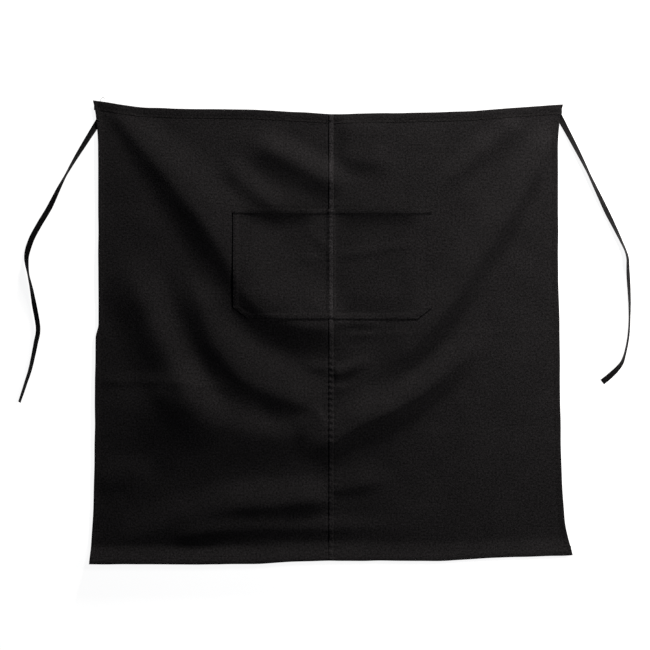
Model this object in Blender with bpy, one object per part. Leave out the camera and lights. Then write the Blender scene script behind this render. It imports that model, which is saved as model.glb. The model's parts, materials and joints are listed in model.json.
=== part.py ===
"""Waist apron of black woven cotton, laid flat and face up.

+Y runs towards the waist hem, +Z up out of the apron's face, and +X to the right of someone who looks down on
the apron with its waist hem away from them. The origin is on the resting surface, under the middle of the
apron without its ties. The centre seam lies on X = 0. "left" names the side where X is negative. All sizes
are in metres.
"""

import math

import bpy
import bmesh
from mathutils import Vector

# --- cloth, threads and the gaps between neighbouring solids -----------------------------------------------
GAP = 0.0003
CLOTH = 0.0008
TURNED = 0.0012
THREAD_HEIGHT = 0.0004
THREAD_WIDTH = 0.0006

# --- heights of the layers, from the resting surface up ----------------------------------------------------
PANEL_BOTTOM = TURNED + GAP
PANEL_TOP = PANEL_BOTTOM + CLOTH
FELL_TOP = 0.0029
POCKET_WALL_BOTTOM = PANEL_TOP + GAP
POCKET_WALL_HEIGHT = 0.0054
POCKET_WALL_TOP = POCKET_WALL_BOTTOM + POCKET_WALL_HEIGHT
POCKET_FRONT_BOTTOM = POCKET_WALL_TOP + GAP
POCKET_FRONT_TOP = POCKET_FRONT_BOTTOM + CLOTH

# --- the outline of the laid apron: each edge as the few points that its shape needs -----------------------
WAIST_LEFT = [(-0.388, 0.377), (-0.285, 0.365), (-0.130, 0.362), (0.0, 0.3550)]
WAIST_RIGHT = [(0.0, 0.3550), (0.106, 0.357), (0.210, 0.359), (0.300, 0.365), (0.378, 0.371)]
SIDE_LEFT = [
    (-0.388, 0.377), (-0.383, 0.352), (-0.379, 0.300), (-0.379, 0.013), (-0.3835, -0.010),
    (-0.385, -0.196), (-0.388, -0.300), (-0.393, -0.377),
]
SIDE_RIGHT = [
    (0.378, 0.371), (0.3735, 0.352), (0.370, 0.300), (0.370, 0.090), (0.372, 0.020),
    (0.3735, -0.100), (0.375, -0.200), (0.380, -0.300), (0.393, -0.363),
]
BOTTOM_LEFT = [(-0.393, -0.377), (-0.130, -0.377), (-0.060, -0.373), (0.0, -0.372)]
BOTTOM_RIGHT = [(0.0, -0.372), (0.184, -0.372), (0.240, -0.3685), (0.393, -0.363)]

# --- seam, hems and the rows of stitching ------------------------------------------------------------------
FELL_HALF_WIDTH = 0.0036
SEAM_ROW = 0.0026
WAIST_HEM = 0.015
SIDE_HEM = 0.009
BOTTOM_HEM = 0.014
ROW_FROM_HEM_EDGE = 0.0015
HEM_INSET = 0.0006
SIDE_HEM_TOP = 0.312
WAIST_HEM_END = 0.352
WAIST_ROW_END = 0.374

# --- the fold along the centre seam ------------------------------------------------------------------------
FOLD_X = FELL_HALF_WIDTH + GAP
FOLD_Z = 0.0125
RIGHT_START = FOLD_X + GAP

# --- the pocket --------------------------------------------------------------------------------------------
POCKET_LEFT = -0.159
POCKET_RIGHT = 0.1636
POCKET_MOUTH = 0.200
POCKET_BOTTOM = 0.022
CUT_X = 0.0235
CUT_Y = 0.018
POCKET_EDGE = 0.008
MOUTH_HEM = 0.0075
POCKET_ROW = 0.0025
BARTACK_LENGTH = 0.0065

# --- the ties: strips folded to one width, 1.2 mm thick ----------------------------------------------------
TIE_HALF_WIDTH = 0.005
TIE_ROW = 0.0035
TIE_STEP = 0.009
TIE_END_LENGTH = 0.024
TIE_TACK_PLACE = 0.0125
TIE_TACK_HALF_LENGTH = 0.0025
ROUND_STEPS = 4
ROUND_START = math.radians(80.0)
LEFT_TIE_PIVOT = (-0.3883, 0.3284)
RIGHT_TIE_PIVOT = (0.3792, 0.3378)
LEFT_TIE_ROUTE = [
    (-0.4175, 0.2805), (-0.4400, 0.2400), (-0.4591, 0.2022), (-0.4760, 0.1740), (-0.4885, 0.1501),
    (-0.4958, 0.1240), (-0.4934, 0.0979), (-0.4880, 0.0715), (-0.4836, 0.0457), (-0.4771, 0.0065),
    (-0.4811, -0.0196), (-0.4893, -0.0587), (-0.4975, -0.0848), (-0.5072, -0.1142),
]
RIGHT_TIE_ROUTE = [
    (0.4086, 0.2805), (0.4280, 0.2400), (0.4461, 0.2022), (0.4600, 0.1740), (0.4714, 0.1501),
    (0.4820, 0.1240), (0.4836, 0.0979), (0.4860, 0.0457), (0.4852, 0.0065), (0.4820, -0.0196),
    (0.4754, -0.0457), (0.4673, -0.0587), (0.4542, -0.0718), (0.4420, -0.0816),
]

# --- colours, as linear values -----------------------------------------------------------------------------
CLOTH_COLOUR = (0.0140, 0.0128, 0.0134, 1.0)
TIE_COLOUR = (0.0110, 0.0100, 0.0108, 1.0)
THREAD_COLOUR = (0.0240, 0.0225, 0.0230, 1.0)


def clear_scene():
    for old in list(bpy.data.objects):
        bpy.data.objects.remove(old)


def make_material(name, colour, roughness):
    material = bpy.data.materials.new(name)
    material.use_nodes = True
    shader = material.node_tree.nodes["Principled BSDF"]
    shader.inputs["Base Color"].default_value = colour
    shader.inputs["Roughness"].default_value = roughness
    shader.inputs["Metallic"].default_value = 0.0
    return material


def make_body(name, origin, parent=None):
    """An empty that a body's pieces are parented to, with its origin on the body's joint axis."""
    body = bpy.data.objects.new(name, None)
    bpy.context.scene.collection.objects.link(body)
    body.parent = parent
    body.location = Vector(origin) - parent_origin(parent)
    return body


def parent_origin(parent):
    """Where an empty is in the apron's own frame: none of them is turned, so locations add up."""
    place = Vector((0.0, 0.0, 0.0))
    while parent is not None:
        place += parent.location
        parent = parent.parent
    return place


def add_object(name, bm, body, material):
    """Turns a bmesh in the apron's frame into an object of one body, with its origin on the body's axis."""
    bmesh.ops.recalc_face_normals(bm, faces=bm.faces)
    origin = parent_origin(body)
    bmesh.ops.translate(bm, verts=bm.verts, vec=-origin)
    mesh = bpy.data.meshes.new(name)
    bm.to_mesh(mesh)
    bm.free()
    mesh.materials.append(material)
    made = bpy.data.objects.new(name, mesh)
    bpy.context.scene.collection.objects.link(made)
    made.parent = body
    return made


def slab(name, outline, bottom, top, body, material):
    """A flat piece: an outline in plan, raised from one height to another."""
    bm = bmesh.new()
    base = bm.faces.new([bm.verts.new((x, y, bottom)) for x, y in outline])
    raised = bmesh.ops.extrude_face_region(bm, geom=[base])
    moved = [v for v in raised["geom"] if isinstance(v, bmesh.types.BMVert)]
    bmesh.ops.translate(bm, verts=moved, vec=(0.0, 0.0, top - bottom))
    return add_object(name, bm, body, material)


def band(name, side_a, side_b, bottom, top, body, material):
    """A long flat piece between two lines with the same number of points."""
    bm = bmesh.new()
    rings = []
    for a, b in zip(side_a, side_b):
        corners = [(a, bottom), (b, bottom), (b, top), (a, top)]
        rings.append([bm.verts.new((point[0], point[1], z)) for point, z in corners])
    bm.faces.new(rings[0])
    bm.faces.new(reversed(rings[-1]))
    for here, there in zip(rings, rings[1:]):
        for k in range(4):
            after = (k + 1) % 4
            bm.faces.new([here[k], here[after], there[after], there[k]])
    return add_object(name, bm, body, material)


def value_on(line, along, axis):
    """The other coordinate of a line of points where its coordinate number `axis` equals `along`."""
    other = 1 - axis
    points = sorted(line, key=lambda point: point[axis])
    if along <= points[0][axis]:
        return points[0][other]
    for start, end in zip(points, points[1:]):
        if along <= end[axis]:
            share = (along - start[axis]) / (end[axis] - start[axis])
            return start[other] + share * (end[other] - start[other])
    return points[-1][other]


def cut_line(line, low, high, axis):
    """The stretch of an edge between two values of one coordinate, as points in rising order."""
    inner = sorted((point for point in line if low < point[axis] < high), key=lambda point: point[axis])
    ends = []
    for along in (low, high):
        other = value_on(line, along, axis)
        ends.append((along, other) if axis == 0 else (other, along))
    return [ends[0]] + inner + [ends[1]]


def shifted(line, dx, dy):
    return [(x + dx, y + dy) for x, y in line]


def thread_along(name, line, across, bottom, body, material):
    """A row of stitching, as one thin raised thread; `across` is the direction that its width lies in."""
    half = THREAD_WIDTH / 2.0
    side_a = shifted(line, -across[0] * half, -across[1] * half)
    side_b = shifted(line, across[0] * half, across[1] * half)
    return band(name, side_a, side_b, bottom, bottom + THREAD_HEIGHT, body, material)


def smooth_route(points, step):
    """A Catmull-Rom curve through the points, read at about one step apart."""
    route = []
    padded = [points[0]] + points + [points[-1]]
    for k in range(1, len(padded) - 2):
        p0, p1, p2, p3 = (Vector(point) for point in padded[k - 1:k + 3])
        pieces = max(2, round((p2 - p1).length / step))
        for n in range(pieces):
            t = n / pieces
            place = 0.5 * (
                2.0 * p1
                + (p2 - p0) * t
                + (2.0 * p0 - 5.0 * p1 + 4.0 * p2 - p3) * t ** 2
                + (3.0 * p1 - p0 - 3.0 * p2 + p3) * t ** 3
            )
            route.append(place)
    route.append(Vector(points[-1]))
    return route


def directions_along(route):
    last = len(route) - 1
    return [(route[min(k + 1, last)] - route[max(k - 1, 0)]).normalized() for k in range(last + 1)]


def offset_route(route, distance):
    """The line at a fixed distance to the left of a route."""
    return [
        (place.x - heading.y * distance, place.y + heading.x * distance)
        for place, heading in zip(route, directions_along(route))
    ]


def side_of(hand):
    """-1 on the model's left, where X is negative, and 1 on its right."""
    return -1.0 if hand == "left" else 1.0


def make_panel(hand, body, cloth):
    """One body panel, flat, from the centre seam to its side edge."""
    left = hand == "left"
    seam = -FOLD_X if left else RIGHT_START
    waist = WAIST_LEFT if left else WAIST_RIGHT
    bottom = BOTTOM_LEFT if left else BOTTOM_RIGHT
    side = SIDE_LEFT if left else SIDE_RIGHT
    low, high = (waist[0][0], seam) if left else (seam, waist[-1][0])
    top_line = cut_line(waist, low, high, 0)
    low, high = (bottom[0][0], seam) if left else (seam, bottom[-1][0])
    bottom_line = cut_line(bottom, low, high, 0)
    side_points = side[1:-1]
    if left:
        outline = bottom_line + top_line[::-1] + side_points
    else:
        outline = bottom_line + side_points[::-1] + top_line[::-1]
    slab(f"{hand}_panel", outline, PANEL_BOTTOM, PANEL_TOP, body, cloth)


def make_hems(hand, body, cloth, thread):
    """The turned waist, side and bottom hems under a panel's edges, and the row of thread that holds each."""
    left = hand == "left"
    sign = side_of(hand)
    seam = -FOLD_X if left else RIGHT_START
    waist = WAIST_LEFT if left else WAIST_RIGHT
    bottom = BOTTOM_LEFT if left else BOTTOM_RIGHT
    side = SIDE_LEFT if left else SIDE_RIGHT
    row_height = PANEL_TOP + GAP

    corner = sign * WAIST_HEM_END
    waist_line = cut_line(waist, min(seam, corner), max(seam, corner), 0)
    outer = shifted(waist_line, 0.0, -HEM_INSET)
    inner = shifted(waist_line, 0.0, -WAIST_HEM)
    band(f"{hand}_waist_hem", outer, inner, 0.0, TURNED, body, cloth)
    row_end = sign * WAIST_ROW_END
    row = cut_line(waist, min(seam, row_end), max(seam, row_end), 0)
    row = shifted(row, 0.0, -(WAIST_HEM - ROW_FROM_HEM_EDGE))
    thread_along(f"{hand}_waist_stitching", row, (0.0, 1.0), row_height, body, thread)

    corner_y = bottom[0][1] if left else bottom[-1][1]
    above_hem = corner_y + BOTTOM_HEM + 2.0 * GAP
    bottom_corner = value_on(side, above_hem, 1) - sign * (SIDE_HEM + GAP + HEM_INSET)
    bottom_line = cut_line(bottom, min(seam, bottom_corner), max(seam, bottom_corner), 0)
    outer = shifted(bottom_line, 0.0, HEM_INSET)
    inner = shifted(bottom_line, 0.0, BOTTOM_HEM)
    band(f"{hand}_bottom_hem", outer, inner, 0.0, TURNED, body, cloth)
    row_end = bottom_corner + sign * 0.004
    row = cut_line(bottom, min(seam, row_end), max(seam, row_end), 0)
    row = shifted(row, 0.0, BOTTOM_HEM - ROW_FROM_HEM_EDGE)
    thread_along(f"{hand}_bottom_stitching", row, (0.0, 1.0), row_height, body, thread)

    side_line = cut_line(side, above_hem, SIDE_HEM_TOP, 1)
    outer = shifted(side_line, -sign * HEM_INSET, 0.0)
    inner = shifted(side_line, -sign * SIDE_HEM, 0.0)
    band(f"{hand}_side_hem", outer, inner, 0.0, TURNED, body, cloth)
    row = cut_line(side, above_hem, SIDE_HEM_TOP, 1)
    row = shifted(row, -sign * (SIDE_HEM - ROW_FROM_HEM_EDGE), 0.0)
    thread_along(f"{hand}_side_stitching", row, (1.0, 0.0), row_height, body, thread)


def make_centre_seam(body, cloth, thread):
    """The felled seam: one band of interlocked layers, with a row of stitching near each of its edges."""
    top = value_on(WAIST_LEFT, 0.0, 0) - HEM_INSET
    bottom = value_on(BOTTOM_LEFT, 0.0, 0) + HEM_INSET
    left_line = [(-FELL_HALF_WIDTH, bottom), (-FELL_HALF_WIDTH, top)]
    right_line = [(FELL_HALF_WIDTH, bottom), (FELL_HALF_WIDTH, top)]
    band("centre_seam_fell", left_line, right_line, 0.0, FELL_TOP, body, cloth)
    for hand in ("left", "right"):
        x = side_of(hand) * SEAM_ROW
        row = [(x, bottom + HEM_INSET), (x, top - HEM_INSET)]
        thread_along(f"{hand}_seam_stitching", row, (1.0, 0.0), FELL_TOP + GAP, body, thread)


def pocket_points(hand, inset):
    """Mouth corner, the two ends of the cut corner and the bottom end at the seam, moved in by an inset."""
    sign = side_of(hand)
    outer_x = POCKET_LEFT if hand == "left" else POCKET_RIGHT
    cut_length = math.hypot(CUT_X, CUT_Y)
    side_x = outer_x - sign * inset
    bottom_y = POCKET_BOTTOM + inset
    diagonal = inset * cut_length
    cut_side_y = POCKET_BOTTOM + CUT_Y - (inset * CUT_Y - diagonal) / CUT_X
    cut_bottom_x = outer_x - sign * (CUT_X - (inset * CUT_X - diagonal) / CUT_Y)
    seam_x = -FOLD_X if hand == "left" else RIGHT_START
    return [(side_x, POCKET_MOUTH), (side_x, cut_side_y), (cut_bottom_x, bottom_y), (seam_x, bottom_y)]


def shorten(start, end, trim_start, trim_end):
    """The stretch between two points with a length taken off each end."""
    start, end = Vector(start), Vector(end)
    heading = (end - start).normalized()
    return start + heading * trim_start, end - heading * trim_end


def make_pocket_half(hand, body, cloth, thread):
    """Half of the patch pocket: its front, its mouth hem, its turned-in edges and its threads."""
    sign = side_of(hand)
    outer = pocket_points(hand, 0.0)
    inner = pocket_points(hand, POCKET_EDGE)
    seam_x = outer[-1][0]
    outline = outer + [(seam_x, POCKET_MOUTH)]
    slab(f"{hand}_pocket_front", outline, POCKET_FRONT_BOTTOM, POCKET_FRONT_TOP, body, cloth)

    names = ("side", "corner", "bottom")
    for k, part in enumerate(names):
        trim_start = 0.0 if k == 0 else GAP
        trim_end = 0.0 if k == len(names) - 1 else GAP
        side_a = shorten(outer[k], outer[k + 1], trim_start, trim_end)
        side_b = shorten(inner[k], inner[k + 1], trim_start, trim_end)
        name = f"{hand}_pocket_{part}_edge"
        band(name, side_a, side_b, POCKET_WALL_BOTTOM, POCKET_WALL_TOP, body, cloth)

    hem_x = inner[0][0] - sign * GAP
    hem_top = [(hem_x, POCKET_MOUTH), (seam_x, POCKET_MOUTH)]
    hem_low = shifted(hem_top, 0.0, -MOUTH_HEM)
    hem_bottom = POCKET_WALL_TOP - TURNED
    band(f"{hand}_pocket_mouth_hem", hem_top, hem_low, hem_bottom, POCKET_WALL_TOP, body, cloth)

    row_height = POCKET_FRONT_TOP + GAP
    line_a = pocket_points(hand, POCKET_ROW - THREAD_WIDTH / 2.0)
    line_b = pocket_points(hand, POCKET_ROW + THREAD_WIDTH / 2.0)
    for line in (line_a, line_b):
        line[0] = (line[0][0], POCKET_MOUTH - BARTACK_LENGTH)
    band(f"{hand}_pocket_edge_stitching", line_a, line_b, row_height, row_height + THREAD_HEIGHT, body, thread)
    y = POCKET_MOUTH - MOUTH_HEM + ROW_FROM_HEM_EDGE
    start = outer[0][0] - sign * (POCKET_ROW + 2.0 * THREAD_WIDTH)
    row = [(start, y), (seam_x, y)]
    thread_along(f"{hand}_pocket_mouth_stitching", row, (0.0, 1.0), row_height, body, thread)
    tack_x = outer[0][0] - sign * POCKET_ROW
    tack = [(tack_x, POCKET_MOUTH - BARTACK_LENGTH + GAP), (tack_x, POCKET_MOUTH - 2.0 * GAP)]
    tack_a = shifted(tack, -THREAD_WIDTH, 0.0)
    tack_b = shifted(tack, THREAD_WIDTH, 0.0)
    band(f"{hand}_pocket_bartack", tack_a, tack_b, row_height, row_height + THREAD_HEIGHT, body, thread)


def make_divider(body, cloth, thread):
    """The strip of the pocket that is sewn down on the centre seam, between the two compartments."""
    ends = [(-FELL_HALF_WIDTH, POCKET_BOTTOM), (-FELL_HALF_WIDTH, POCKET_MOUTH)]
    other = [(FELL_HALF_WIDTH, POCKET_BOTTOM), (FELL_HALF_WIDTH, POCKET_MOUTH)]
    bottom = FELL_TOP + GAP + THREAD_HEIGHT + GAP
    band("pocket_divider", ends, other, bottom, POCKET_FRONT_TOP, body, cloth)
    for hand in ("left", "right"):
        x = side_of(hand) * SEAM_ROW
        row = [(x, POCKET_BOTTOM + HEM_INSET), (x, POCKET_MOUTH - HEM_INSET)]
        name = f"{hand}_divider_stitching"
        thread_along(name, row, (1.0, 0.0), POCKET_FRONT_TOP + GAP, body, thread)


def make_tie(hand, panel_body, tie_body, cloth, thread):
    """A tie: its end sewn under the apron's corner, the tack that holds it, and the free strip."""
    pivot = Vector(LEFT_TIE_PIVOT if hand == "left" else RIGHT_TIE_PIVOT)
    points = LEFT_TIE_ROUTE if hand == "left" else RIGHT_TIE_ROUTE
    route = smooth_route([tuple(pivot)] + points, TIE_STEP)
    heading = directions_along(route)[0]

    sewn_tip = pivot - heading * (TIE_HALF_WIDTH + GAP)
    sewn_end = [sewn_tip, sewn_tip - heading * TIE_END_LENGTH]
    name = f"{hand}_tie_end"
    band(name, offset_route(sewn_end, TIE_HALF_WIDTH), offset_route(sewn_end, -TIE_HALF_WIDTH),
         0.0, TURNED, panel_body, cloth)
    tack_middle = sewn_tip - heading * TIE_TACK_PLACE
    tack = [tack_middle + heading * THREAD_WIDTH, tack_middle - heading * THREAD_WIDTH]
    bottom = PANEL_TOP + GAP
    band(f"{hand}_tie_tack", offset_route(tack, TIE_TACK_HALF_LENGTH), offset_route(tack, -TIE_TACK_HALF_LENGTH),
         bottom, bottom + THREAD_HEIGHT, panel_body, thread)

    side_a = []
    side_b = []
    for k in range(ROUND_STEPS):
        turn = ROUND_START * (1.0 - k / ROUND_STEPS)
        back = pivot - heading * TIE_HALF_WIDTH * math.sin(turn)
        half = TIE_HALF_WIDTH * math.cos(turn)
        side_a.append((back.x - heading.y * half, back.y + heading.x * half))
        side_b.append((back.x + heading.y * half, back.y - heading.x * half))
    side_a += offset_route(route, TIE_HALF_WIDTH)
    side_b += offset_route(route, -TIE_HALF_WIDTH)
    band(f"{hand}_tie", side_a, side_b, 0.0, TURNED, tie_body, cloth)
    row_a = offset_route(route, TIE_ROW - THREAD_WIDTH / 2.0)
    row_b = offset_route(route, TIE_ROW + THREAD_WIDTH / 2.0)
    bottom = TURNED + GAP
    band(f"{hand}_tie_stitching", row_a, row_b, bottom, bottom + THREAD_HEIGHT, tie_body, thread)


def main():
    clear_scene()
    cloth = {}
    thread = {}
    tie_cloth = {}
    for hand in ("left", "right"):
        cloth[hand] = make_material(f"{hand}_cotton", CLOTH_COLOUR, 0.92)
        tie_cloth[hand] = make_material(f"{hand}_tie_cotton", TIE_COLOUR, 0.92)
        thread[hand] = make_material(f"{hand}_thread", THREAD_COLOUR, 0.7)

    left_half = make_body("left_half_body", (0.0, 0.0, 0.0))
    right_half = make_body("right_half_body", (FOLD_X, 0.0, FOLD_Z), left_half)
    left_tie = make_body("left_tie_body", (*LEFT_TIE_PIVOT, 0.0), left_half)
    right_tie = make_body("right_tie_body", (*RIGHT_TIE_PIVOT, 0.0), right_half)

    for hand, half, tie in (("left", left_half, left_tie), ("right", right_half, right_tie)):
        make_panel(hand, half, cloth[hand])
        make_hems(hand, half, cloth[hand], thread[hand])
        make_pocket_half(hand, half, cloth[hand], thread[hand])
        make_tie(hand, half, tie, tie_cloth[hand], thread[hand])
    make_centre_seam(left_half, cloth["left"], thread["left"])
    make_divider(left_half, cloth["left"], thread["left"])


main()
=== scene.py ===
import json
import math

import bpy
import numpy as np
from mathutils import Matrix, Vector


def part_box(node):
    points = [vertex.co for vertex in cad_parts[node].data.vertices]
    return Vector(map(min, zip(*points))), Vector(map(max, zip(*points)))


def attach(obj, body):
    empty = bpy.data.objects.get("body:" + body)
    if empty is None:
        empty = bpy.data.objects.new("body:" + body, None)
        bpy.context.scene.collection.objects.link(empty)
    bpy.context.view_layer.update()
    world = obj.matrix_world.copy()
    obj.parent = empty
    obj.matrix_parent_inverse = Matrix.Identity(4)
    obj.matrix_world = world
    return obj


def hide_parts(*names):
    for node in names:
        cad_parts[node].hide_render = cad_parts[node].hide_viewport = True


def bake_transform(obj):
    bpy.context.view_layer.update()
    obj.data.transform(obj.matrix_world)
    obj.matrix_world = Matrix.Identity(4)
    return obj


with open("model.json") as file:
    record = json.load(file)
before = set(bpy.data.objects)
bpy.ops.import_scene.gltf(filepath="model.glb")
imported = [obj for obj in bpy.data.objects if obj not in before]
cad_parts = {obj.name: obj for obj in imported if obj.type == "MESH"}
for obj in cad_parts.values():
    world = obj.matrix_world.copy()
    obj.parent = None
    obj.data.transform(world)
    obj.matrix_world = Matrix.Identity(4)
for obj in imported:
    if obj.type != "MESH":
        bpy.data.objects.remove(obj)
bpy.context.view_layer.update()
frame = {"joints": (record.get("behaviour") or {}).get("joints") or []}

# The black cotton waist apron, laid flat and face up. Everything is in metres, in the frame of the CAD model.
# left is the side where X is negative; +Y is towards the waist hem.

# --- sizes read from the frame -----------------------------------------------
POCKET_BOX = {hand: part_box(f"{hand}_pocket_front") for hand in ("left", "right")}
POCKET_LEFT = POCKET_BOX["left"][0].x
POCKET_RIGHT = POCKET_BOX["right"][1].x
POCKET_MOUTH = POCKET_BOX["left"][1].y
POCKET_BOTTOM = POCKET_BOX["left"][0].y
CUT_SIZE = (0.0235, 0.018)
JOINTS = {joint["name"]: joint for joint in frame["joints"]}
TIE_PIVOTS = {hand: JOINTS[f"{hand}_tie_swing"]["pos_m"] for hand in ("left", "right")}

# --- cloth -------------------------------------------------------------------
CLOTH = 0.00045
HEM_LAYERS = 0.0008
SEAM_HALF = 0.0042
SEAM_ROW = 0.0031
SEAM_RISE = 0.0011
WAIST_HEM = 0.0155
SIDE_HEM = 0.0090
BOTTOM_HEM = 0.0145
ROW_FROM_HEM_EDGE = 0.0016
POCKET_ROW = 0.0024
POCKET_TURNING = 0.008
MOUTH_HEM = 0.0078
STITCH_PITCH = 0.0031
STITCH_LENGTH = 0.0025
STITCH_RADIUS = 0.00024
REST_CLEARANCE = 0.0007
LAYER_GAP = 0.00004


def sign_of(hand):
    return -1.0 if hand == "left" else 1.0


def smoothstep(value):
    value = np.clip(value, 0.0, 1.0)
    return value * value * (3.0 - 2.0 * value)


def lifted(places, height):
    """The same places, higher up."""
    places = places.copy()
    places[..., 2] += height
    return places


def bell(distance, width):
    return np.exp(-((distance / width) ** 2))


def run_along(line):
    """How far each point of a line is from its first one, along it."""
    return np.concatenate([[0.0], np.cumsum(np.linalg.norm(np.diff(line, axis=0), axis=1))])


def headings(line):
    heading = np.gradient(line, axis=0)
    return heading / np.linalg.norm(heading, axis=1)[:, None]


# --- the camera: straight above the laid apron -------------------------------
CAMERA_HEIGHT = 2.6
VIEW_WIDTH = 1.060
VIEW_MIDDLE = (-0.0098, 0.0114)


def make_camera():
    data = bpy.data.cameras.new("camera")
    data.sensor_width = 36.0
    data.lens = data.sensor_width * CAMERA_HEIGHT / VIEW_WIDTH
    data.clip_start = 0.05
    data.clip_end = 20.0
    camera = bpy.data.objects.new("camera", data)
    camera.location = (VIEW_MIDDLE[0], VIEW_MIDDLE[1], CAMERA_HEIGHT)
    bpy.context.scene.collection.objects.link(camera)
    bpy.context.scene.camera = camera


# --- meshes ------------------------------------------------------------------
def add_mesh(name, vertices, faces, flat=None, material=None):
    mesh = bpy.data.meshes.new(name)
    face_lists = faces.tolist() if isinstance(faces, np.ndarray) else faces
    mesh.from_pydata(np.asarray(vertices).tolist(), [], face_lists)
    if flat is not None:
        layer = mesh.attributes.new("flat", "FLOAT_VECTOR", "POINT")
        layer.data.foreach_set("vector", np.asarray(flat, np.float32).ravel())
    mesh.shade_smooth()
    mesh.update()
    made = bpy.data.objects.new(name, mesh)
    bpy.context.scene.collection.objects.link(made)
    if material is not None:
        mesh.materials.append(material)
    return made


def grid_shell(name, top, bottom, x, y, material):
    """A closed thin sheet between two grids of points (rows, columns, 3); x and y are its flat places."""
    rows, columns = top.shape[:2]
    count = rows * columns
    index = np.arange(count).reshape(rows, columns)
    quads = np.stack([index[:-1, :-1], index[:-1, 1:], index[1:, 1:], index[1:, :-1]], -1).reshape(-1, 4)
    under = quads[:, ::-1] + count
    border = np.concatenate([index[0, :-1], index[:-1, -1], index[-1, :0:-1], index[:0:-1, 0]])
    after = np.roll(border, -1)
    wall = np.stack([after, border, border + count, after + count], -1)
    vertices = np.concatenate([top.reshape(-1, 3), bottom.reshape(-1, 3)])
    place = np.concatenate([np.stack([x, y], -1).reshape(-1, 2)] * 2)
    place = np.column_stack([place, np.zeros(len(place))])
    return add_mesh(name, vertices, np.concatenate([quads, under, wall]), place, material)


def tube_faces(count, around):
    """The quads between a tube's rings of points, and its two end caps."""
    index = np.arange(count * around).reshape(count, around)
    after = np.roll(index, -1, axis=1)
    faces = np.stack([index[:-1], index[1:], after[1:], after[:-1]], -1).reshape(-1, 4).tolist()
    return faces + [index[0].tolist(), index[-1][::-1].tolist()]


EDGE_LINE = 0.00022


def spaced_steps(length, coarse, fine, start_zone, end_zone):
    """Places from 0 to length: fine in both end zones, coarse between, and one more close to each end."""
    places = [np.linspace(0.0, start_zone, max(2, round(start_zone / fine) + 1))]
    middle = length - start_zone - end_zone
    places.append(np.linspace(start_zone, start_zone + middle, max(2, round(middle / coarse) + 1))[1:])
    places.append(np.linspace(length - end_zone, length, max(2, round(end_zone / fine) + 1))[1:])
    places.append([EDGE_LINE, length - EDGE_LINE])
    return np.sort(np.concatenate(places))


# --- noise -------------------------------------------------------------------
def ripple(x, y, size, seed):
    """Smooth random values from -1 to 1 whose bumps are about `size` metres across."""
    table = np.random.default_rng(seed).uniform(-1.0, 1.0, (64, 64))
    u, v = x / size + 17.3, y / size + 31.7
    column, row = np.floor(u).astype(int), np.floor(v).astype(int)
    a, b = smoothstep(u - column), smoothstep(v - row)
    corner = [table[(row + j) % 64, (column + i) % 64] for j in (0, 1) for i in (0, 1)]
    return (corner[0] * (1 - a) + corner[1] * a) * (1 - b) + (corner[2] * (1 - a) + corner[3] * a) * b


def ripple_along(place, size, seed):
    """The same along a line."""
    return ripple(place, 0 * place, size, seed)


# --- the outline of the laid cloth, the same points as the CAD panels have ---
# waist and bottom are (x, y) in rising x; the sides are (y, x) in rising y
EDGES = {
    ("left", "waist"): [(-0.388, 0.377), (-0.285, 0.365), (-0.130, 0.362), (0.0, 0.355)],
    ("right", "waist"): [(0.0, 0.355), (0.106, 0.357), (0.210, 0.359), (0.300, 0.365), (0.378, 0.371)],
    ("left", "bottom"): [(-0.393, -0.377), (-0.130, -0.377), (-0.060, -0.373), (0.0, -0.372)],
    ("right", "bottom"): [(0.0, -0.372), (0.184, -0.372), (0.240, -0.3685), (0.393, -0.363)],
    ("left", "side"): [(-0.377, -0.393), (-0.300, -0.388), (-0.196, -0.385), (-0.010, -0.3835),
                       (0.013, -0.379), (0.300, -0.379), (0.352, -0.383), (0.377, -0.388)],
    ("right", "side"): [(-0.363, 0.393), (-0.300, 0.380), (-0.200, 0.375), (-0.100, 0.3735), (0.020, 0.372),
                        (0.090, 0.370), (0.300, 0.370), (0.352, 0.3735), (0.371, 0.378)],
}
EDGES = {key: np.array(points).T for key, points in EDGES.items()}


def smooth_through(along, across, query):
    """A smooth line through points that doesn't swing past them (a monotone cubic)."""
    step = np.diff(along)
    slope = np.diff(across) / step
    tangent = np.concatenate([[slope[0]], np.zeros(len(slope) - 1), [slope[-1]]])
    same = slope[:-1] * slope[1:] > 0
    mean = 2.0 * slope[:-1] * slope[1:] / np.where(same, slope[:-1] + slope[1:], 1.0)
    tangent[1:-1] = np.where(same, mean, 0.0)
    k = np.clip(np.searchsorted(along, query) - 1, 0, len(step) - 1)
    t = np.clip((query - along[k]) / step[k], 0.0, 1.0)
    h = step[k]
    return (
        (2 * t**3 - 3 * t**2 + 1) * across[k]
        + (t**3 - 2 * t**2 + t) * h * tangent[k]
        + (3 * t**2 - 2 * t**3) * across[k + 1]
        + (t**3 - t**2) * h * tangent[k + 1]
    )


def by_hand(x, edge, query):
    return np.where(
        x < 0, smooth_through(*EDGES["left", edge], query), smooth_through(*EDGES["right", edge], query)
    )


def waist_y(x):
    return by_hand(x, "waist", x) + 0.0006 * ripple_along(x, 0.03, 5)


def bottom_y(x):
    return by_hand(x, "bottom", x) + 0.0006 * ripple_along(x, 0.03, 6)


def side_x(hand, y):
    return smooth_through(*EDGES[hand, "side"], y) + 0.0005 * ripple_along(y, 0.035, 7)


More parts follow.
